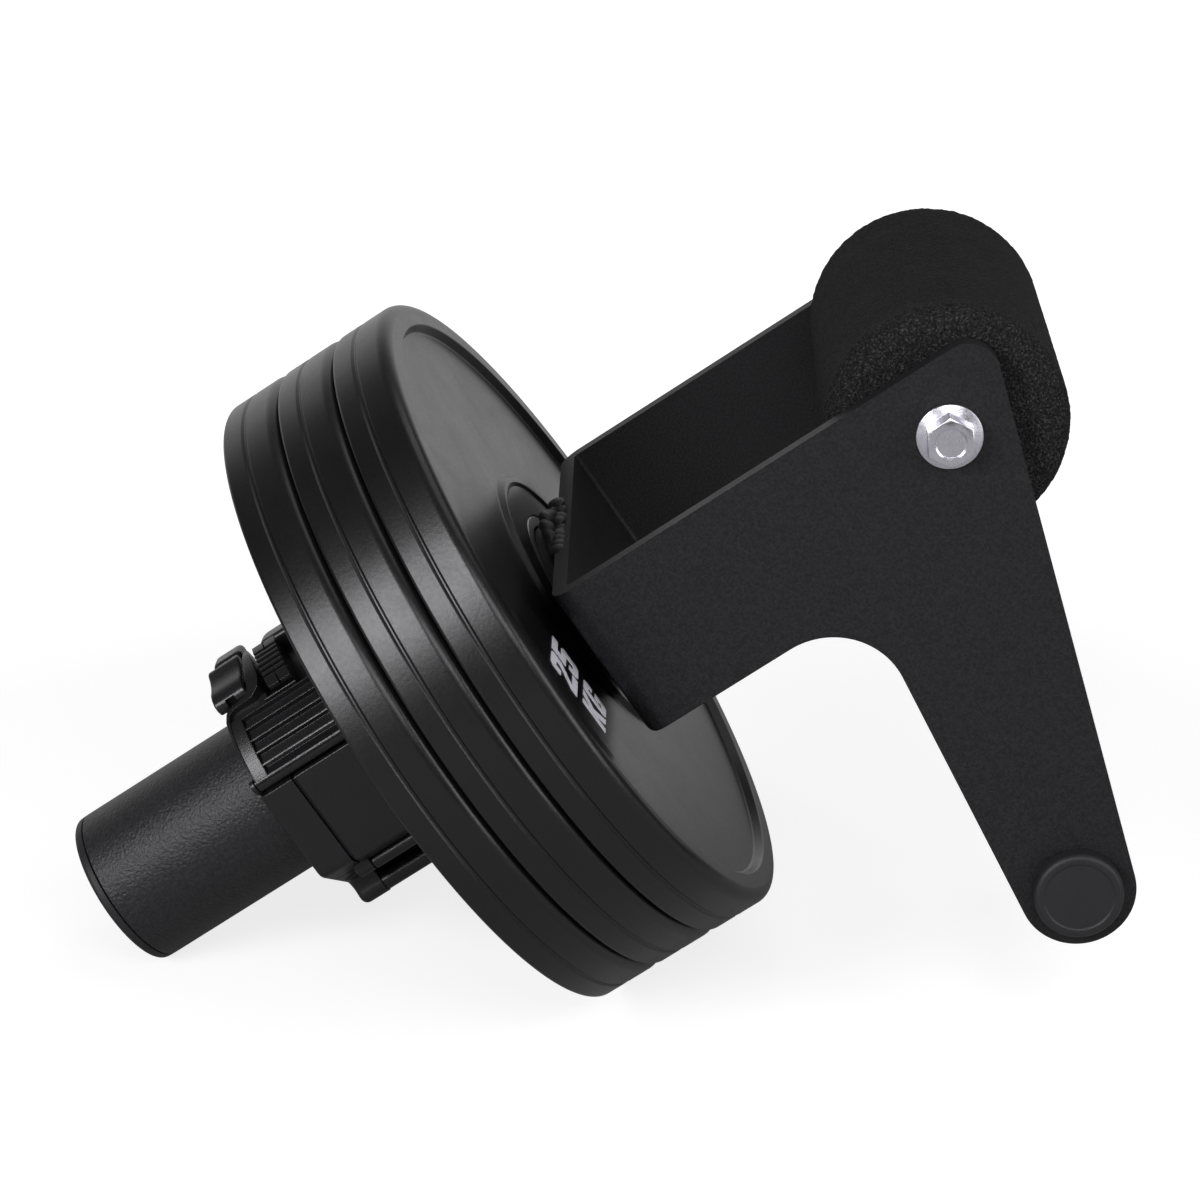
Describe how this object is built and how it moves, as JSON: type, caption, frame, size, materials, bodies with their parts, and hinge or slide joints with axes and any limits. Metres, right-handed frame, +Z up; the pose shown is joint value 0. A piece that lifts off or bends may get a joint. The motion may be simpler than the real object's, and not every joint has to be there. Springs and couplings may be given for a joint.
{
  "type": "tib bar",
  "caption": "Single-leg tib bar: U bracket with foam roller and heel bar, and a loading sleeve holding weight plates behind a quick-release clamp collar.",
  "frame": {"origin": "middle of the bounding box's bottom, on the floor", "axes": "+X from the sleeve end towards the roller, +Y across the bracket away from the bolt head, +Z up"},
  "size_m": [0.3148, 0.2096, 0.2259],
  "materials": {
    "powder_coat": "matt black fine-texture powder coat",
    "sleeve_coat": "matt black coarse-texture powder coat",
    "zinc": "bright zinc plate",
    "steel": "plain turned steel",
    "cast_iron": "as cast, hidden",
    "plate_rubber": "semi-gloss black rubber",
    "pad_rubber": "matt rubber lining",
    "foam": "black cut foam",
    "cap_plastic": "fine matt moulded plastic",
    "bush_plastic": "natural nylon, hidden",
    "collar_nylon": "black glass-filled nylon",
    "collar_grip": "black moulded nylon, slightly glossier"
  },
  "bodies": {
    "frame": {"bracket": "powder_coat", "sleeve_tube": "sleeve_coat", "sleeve_end_plug": "cap_plastic", "heel_bar": "powder_coat", "heel_cap_near": "cap_plastic", "heel_cap_far": "cap_plastic", "roller_bolt": "zinc", "bolt_washer": "zinc", "bolt_nut": "zinc"},
    "roller": {"foam_roller": "foam", "roller_core_tube": "steel", "roller_bush_near": "bush_plastic", "roller_bush_far": "bush_plastic"},
    "plate_inner": {"plate_inner_rubber": "plate_rubber", "plate_inner_core": "cast_iron", "plate_inner_hub": "steel"},
    "plate_middle": {"plate_middle_rubber": "plate_rubber", "plate_middle_core": "cast_iron", "plate_middle_hub": "steel"},
    "plate_outer": {"plate_outer_rubber": "plate_rubber", "plate_outer_core": "cast_iron", "plate_outer_hub": "steel"},
    "collar": {"collar_body": "collar_nylon", "collar_body_pad": "pad_rubber", "collar_catch": "collar_grip", "collar_hinge_pin": "steel", "collar_tab_pin": "steel"},
    "collar_jaw": {"collar_jaw": "collar_nylon", "collar_jaw_pad": "pad_rubber", "collar_lever_pin": "steel"},
    "collar_lever": {"collar_lever": "collar_grip"},
    "collar_tab": {"collar_release_tab": "collar_grip"}
  },
  "joints": [
    {"name": "roller_spin", "type": "hinge", "parent": "frame", "child": "roller", "pos_m": [0.0972, 0, 0.19092], "axis": [0, 1, 0], "continuous": true},
    {"name": "plate_inner_slide", "type": "slide", "parent": "frame", "child": "plate_inner", "axis": [-0.819, 0, -0.5737], "range_m": [0, 0.177]},
    {"name": "plate_middle_slide", "type": "slide", "parent": "plate_inner", "child": "plate_middle", "axis": [-0.819, 0, -0.5737], "range_m": [0, 0.1575]},
    {"name": "plate_outer_slide", "type": "slide", "parent": "plate_middle", "child": "plate_outer", "axis": [-0.819, 0, -0.5737], "range_m": [0, 0.138]},
    {"name": "collar_slide", "type": "slide", "parent": "plate_outer", "child": "collar", "axis": [-0.819, 0, -0.5737], "range_m": [0, 0.1185]},
    {"name": "collar_jaw_swing", "type": "hinge", "parent": "collar", "child": "collar_jaw", "pos_m": [-0.07481, -0.02883, 0.03629], "axis": [0.819, 0, 0.5737], "range_deg": [0, 60]},
    {"name": "collar_lever_swing", "type": "hinge", "parent": "collar_jaw", "child": "collar_lever", "pos_m": [-0.09834, -0.03544, 0.06987], "axis": [0.819, 0, 0.5737], "range_deg": [0, 75]},
    {"name": "collar_tab_press", "type": "hinge", "parent": "collar", "child": "collar_tab", "pos_m": [-0.10883, -0.02248, 0.08485], "axis": [-0.819, 0, -0.5737], "range_deg": [0, 6], "stiffness_Nm_per_rad": 0.08, "springref_deg": -2.86}
  ]
}
